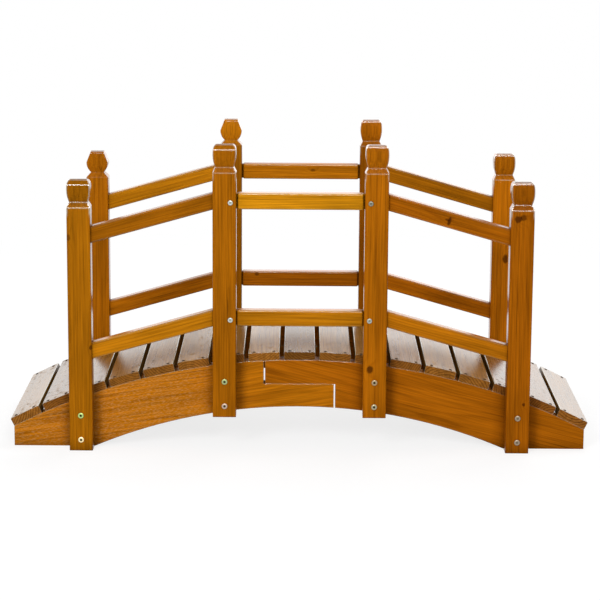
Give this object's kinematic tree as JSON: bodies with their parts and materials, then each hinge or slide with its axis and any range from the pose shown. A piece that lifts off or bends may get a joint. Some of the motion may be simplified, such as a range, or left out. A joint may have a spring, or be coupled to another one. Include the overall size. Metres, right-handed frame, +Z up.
{
  "type": "garden moon bridge",
  "caption": "Arched wooden garden footbridge: plank deck on lapped, arched stringers, with a railing of finial posts and double rails on each side.",
  "frame": {"origin": "on the ground at the middle of the bridge, under mid span", "axes": "+X along the span, +Y across the deck towards the back railing, +Z up"},
  "size_m": [1.523, 0.587, 0.8095],
  "materials": {
    "post": "stained and varnished softwood, reddish brown",
    "rail": "stained and varnished softwood, golden brown",
    "stringer": "stained and varnished softwood, sawn face",
    "plank": "stained and varnished softwood, glossy top",
    "fastener": "zinc-plated steel"
  },
  "bodies": {
    "root": {"back_centre_lower_rail": "rail", "back_centre_upper_rail": "rail", "back_left_end_post": "post", "back_left_inner_post": "post", "back_left_lower_rail": "rail", "back_left_stringer": "stringer", "back_left_upper_rail": "rail", "back_right_end_post": "post", "back_right_inner_post": "post", "back_right_lower_rail": "rail", "back_right_stringer": "stringer", "back_right_upper_rail": "rail", "deck_plank_01": "plank", "deck_plank_02": "plank", "deck_plank_03": "plank", "deck_plank_04": "plank", "deck_plank_05": "plank", "deck_plank_06": "plank", "deck_plank_07": "plank", "deck_plank_08": "plank", "deck_plank_09": "plank", "deck_plank_10": "plank", "deck_plank_11": "plank", "deck_plank_12": "plank", "deck_plank_13": "plank", "deck_plank_14": "plank", "deck_plank_15": "plank", "deck_plank_16": "plank", "deck_plank_17": "plank", "front_centre_lower_rail": "rail", "front_centre_upper_rail": "rail", "front_left_end_post": "post", "front_left_inner_post": "post", "front_left_lower_rail": "rail", "front_left_stringer": "stringer", "front_left_upper_rail": "rail", "front_right_end_post": "post", "front_right_inner_post": "post", "front_right_lower_rail": "rail", "front_right_stringer": "stringer", "front_right_upper_rail": "rail"}
  },
  "joints": []
}
